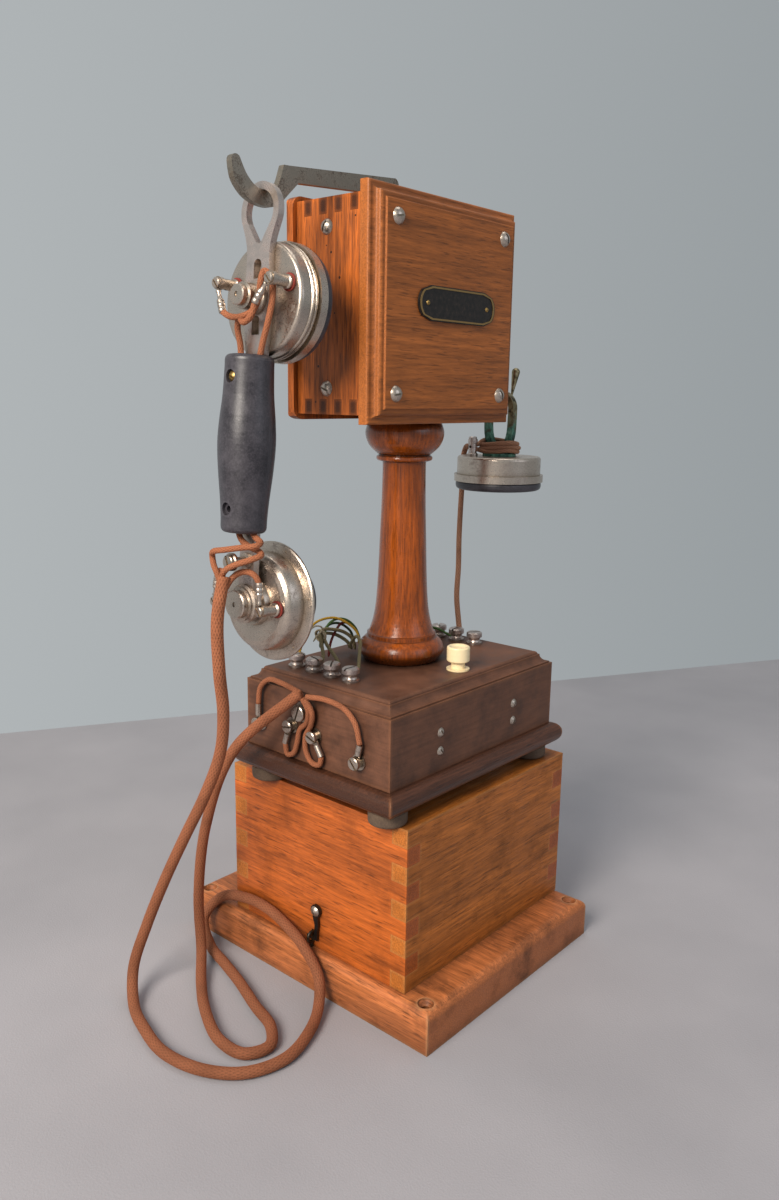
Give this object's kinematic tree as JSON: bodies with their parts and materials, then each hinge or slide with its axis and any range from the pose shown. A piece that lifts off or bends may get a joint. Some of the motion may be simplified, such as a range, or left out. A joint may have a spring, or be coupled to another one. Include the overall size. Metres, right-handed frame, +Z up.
{
  "type": "column telephone",
  "caption": "Wooden column telephone on a finger-jointed battery box, with a lift-off handset on a switch hook, a hanging spare receiver, a call button and braided cords.",
  "frame": {"origin": "centre of the underside of the base board", "axes": "+Z up, -Y towards the front where the name plate is, -X towards the side where the handset hangs"},
  "size_m": [0.331, 0.222, 0.5093],
  "materials": {
    "board_wood": "worn varnished softwood",
    "box_wood": "worn orange-brown varnished beech",
    "plate_wood": "near-black stained and waxed",
    "case_wood": "chocolate-brown paint",
    "column_wood": "polished mahogany",
    "head_wood": "waxed orange-brown walnut",
    "panel_wood": "waxed walnut",
    "nickel": "worn satin nickel plate",
    "spotted_nickel": "spotted nickel plate",
    "lever_steel": "dull grey steel",
    "black_iron": "blackened iron",
    "dull_brass": "tarnished",
    "green_brass": "verdigris over worn nickel",
    "black_plate": "blackened brass",
    "ebonite": "worn satin hard rubber",
    "ivory_plastic": "polished casein",
    "red_fibre": "vulcanised fibre",
    "foot_rubber": "dull grey rubber",
    "cell_card": "waxed card",
    "cord_cotton": "braided cotton",
    "coil_silk": "silk-covered winding"
  },
  "bodies": {
    "telephone": {"base_board": "board_wood", "box_end_panels": "box_wood", "box_side_panels": "box_wood", "box_top": "box_wood", "dry_cells": "cell_card", "cell_terminals": "dull_brass", "latch_eyes": "black_iron", "latch_screws": "nickel", "feet": "foot_rubber", "base_plate": "plate_wood", "case_shell": "case_wood", "terminal_posts": "spotted_nickel", "terminal_screws": "spotted_nickel", "side_terminals": "nickel", "induction_coil": "coil_silk", "contact_springs": "dull_brass", "button_bush": "ivory_plastic", "column": "column_wood", "tie_rod": "lever_steel", "head_sides": "head_wood", "head_top": "head_wood", "head_bottom": "head_wood", "head_front_panel": "panel_wood", "head_back_panel": "head_wood", "wood_screws": "nickel", "name_plate": "black_plate", "name_plate_pins": "dull_brass", "lever_bracket": "lever_steel", "lever_pin": "lever_steel", "spare_hook": "green_brass", "handset_cord": "cord_cotton", "spare_cord": "cord_cotton"},
    "hook_lever": {"hook_lever": "lever_steel"},
    "handset": {"handset_frame": "spotted_nickel", "receiver_cup": "nickel", "receiver_collar": "nickel", "ear_cap": "ebonite", "receiver_diaphragm": "black_iron", "receiver_magnet": "black_iron", "handset_nuts": "nickel", "handset_terminals": "nickel", "fibre_washers": "red_fibre", "grip_front": "ebonite", "grip_rear": "ebonite", "grip_screw": "dull_brass", "cord_stud": "nickel", "transmitter_bell": "nickel", "mouthpiece": "ebonite", "carbon_capsule": "dull_brass", "handset_cord_top": "cord_cotton"},
    "spare_receiver": {"spare_ring": "green_brass", "spare_cup": "nickel", "spare_cap": "ebonite", "spare_magnet": "black_iron", "spare_terminal": "spotted_nickel", "spare_cord_top": "cord_cotton"},
    "call_button": {"call_button": "ivory_plastic", "button_spring": "lever_steel"},
    "latch_left": {"latch_left": "black_iron"},
    "latch_right": {"latch_right": "black_iron"}
  },
  "joints": [
    {"name": "handset_lift", "type": "slide", "parent": "telephone", "child": "handset", "axis": [-0.5, 0, 0.866], "range_m": [0, 0.016]},
    {"name": "hook_rise", "type": "hinge", "parent": "telephone", "child": "hook_lever", "pos_m": [-0.031, -0.014, 0.476], "axis": [0, 1, 0], "range_deg": [0, 3.05]},
    {"name": "button_press", "type": "slide", "parent": "telephone", "child": "call_button", "axis": [0, 0, -1], "range_m": [0, 0.0035], "stiffness_N_per_m": 500, "springref_m": -0.002, "deforming": ["button_spring"]},
    {"name": "spare_swing", "type": "hinge", "parent": "telephone", "child": "spare_receiver", "pos_m": [0.0995, -0.014, 0.379], "axis": [1, 0, 0], "range_deg": [-25, 25]},
    {"name": "latch_left_turn", "type": "hinge", "parent": "telephone", "child": "latch_left", "pos_m": [-0.0853, -0.012, 0.054], "axis": [-1, 0, 0], "range_deg": [0, 110]},
    {"name": "latch_right_turn", "type": "hinge", "parent": "telephone", "child": "latch_right", "pos_m": [0.0893, -0.012, 0.054], "axis": [-1, 0, 0], "range_deg": [0, 110]}
  ],
  "couplings": [
    {"joint": "hook_rise", "follows": "handset_lift", "rad_per_m": 3.32}
  ]
}
